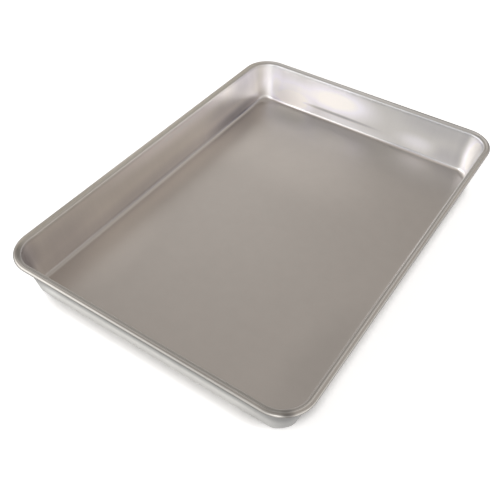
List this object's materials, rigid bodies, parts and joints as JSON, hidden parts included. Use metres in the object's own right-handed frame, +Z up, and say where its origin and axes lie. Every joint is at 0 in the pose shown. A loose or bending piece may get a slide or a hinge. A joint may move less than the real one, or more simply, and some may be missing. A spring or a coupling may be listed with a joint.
{
  "type": "sheet cake pan",
  "caption": "Shallow rectangular aluminium baking pan with drafted walls, rounded corners and a rolled rim over a steel hoop.",
  "frame": {"origin": "middle of the underside, on the surface that the pan stands on", "axes": "+X along the short side, +Y along the long side, +Z up out of the open top"},
  "size_m": [0.3314, 0.4584, 0.0508],
  "materials": {
    "pan_sheet": "uncoated pressed aluminium: matte grey floor, streaked drawn walls, bright rolled rim",
    "rim_hoop": "galvanised steel wire, dull grey"
  },
  "bodies": {
    "root": {"pan_body": "pan_sheet", "rim_wire": "rim_hoop"}
  },
  "joints": []
}
